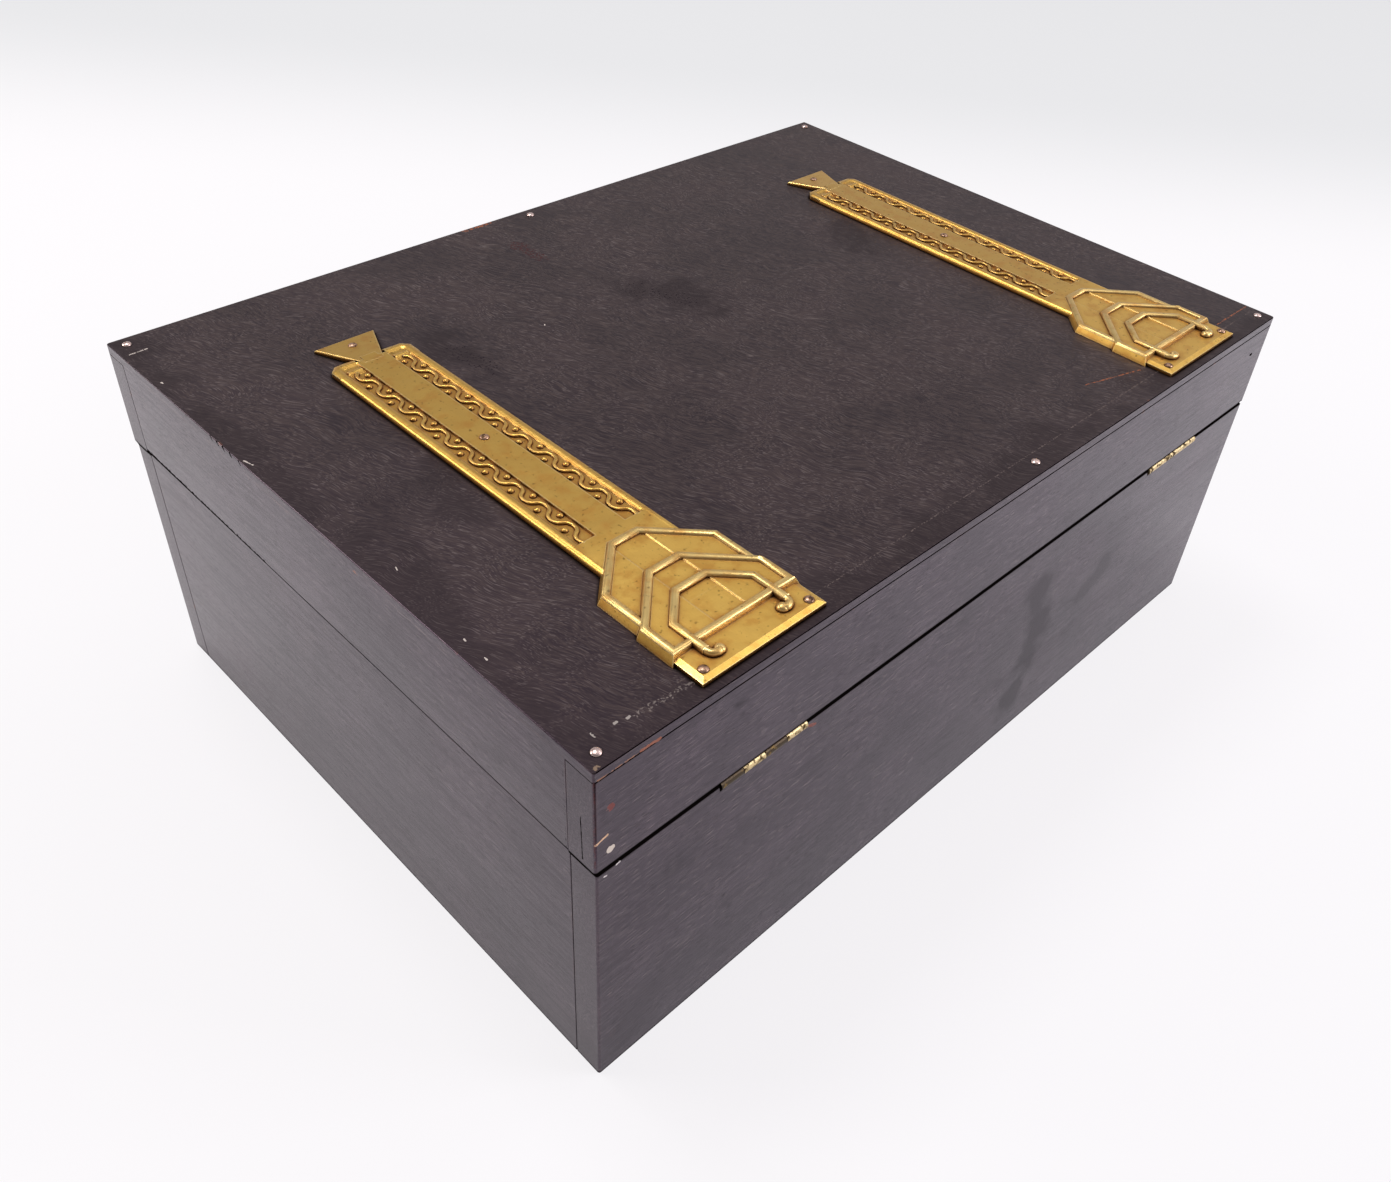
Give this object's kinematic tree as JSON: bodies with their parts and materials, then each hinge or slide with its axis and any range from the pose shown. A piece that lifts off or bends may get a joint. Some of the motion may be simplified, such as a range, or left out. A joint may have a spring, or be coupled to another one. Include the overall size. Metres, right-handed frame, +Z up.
{
  "type": "wooden keepsake box",
  "caption": "Dark wooden keepsake box with a lid hinged at the back and stamped brass straps across the lid, for papers, letters and small keepsakes.",
  "frame": {"origin": "centre of the lid's outline in plan, on the surface that the box stands on", "axes": "+X to the right seen from the front, +Y towards the hinges at the back, +Z up"},
  "size_m": [0.3, 0.2176, 0.1225],
  "materials": {
    "dark_wood": "worn dark stain",
    "strap_brass": "patinated",
    "strap_pin_brass": "satin",
    "hinge_brass": "worn",
    "iron_brads": "dull",
    "steel_pins": "tarnished"
  },
  "bodies": {
    "base": {"base_front_board": "dark_wood", "base_back_board": "dark_wood", "base_right_end": "dark_wood", "base_left_end": "dark_wood", "base_bottom_board": "dark_wood", "base_joint_brads": "iron_brads", "base_bottom_brads": "iron_brads", "right_hinge_base_leaf": "hinge_brass", "right_hinge_pin": "hinge_brass", "right_hinge_base_screws": "hinge_brass", "left_hinge_base_leaf": "hinge_brass", "left_hinge_pin": "hinge_brass", "left_hinge_base_screws": "hinge_brass"},
    "lid": {"lid_front_board": "dark_wood", "lid_back_board": "dark_wood", "lid_right_end": "dark_wood", "lid_left_end": "dark_wood", "lid_top_board": "dark_wood", "lid_joint_brads": "iron_brads", "lid_top_pins": "steel_pins", "right_strap": "strap_brass", "left_strap": "strap_brass", "right_strap_pins": "strap_pin_brass", "left_strap_pins": "strap_pin_brass", "right_hinge_lid_leaf": "hinge_brass", "right_hinge_lid_screws": "hinge_brass", "left_hinge_lid_leaf": "hinge_brass", "left_hinge_lid_screws": "hinge_brass"}
  },
  "joints": [
    {"name": "lid_hinge", "type": "hinge", "parent": "base", "child": "lid", "pos_m": [0, 0.1077, 0.0844], "axis": [-1, 0, 0], "range_deg": [0, 113]}
  ]
}
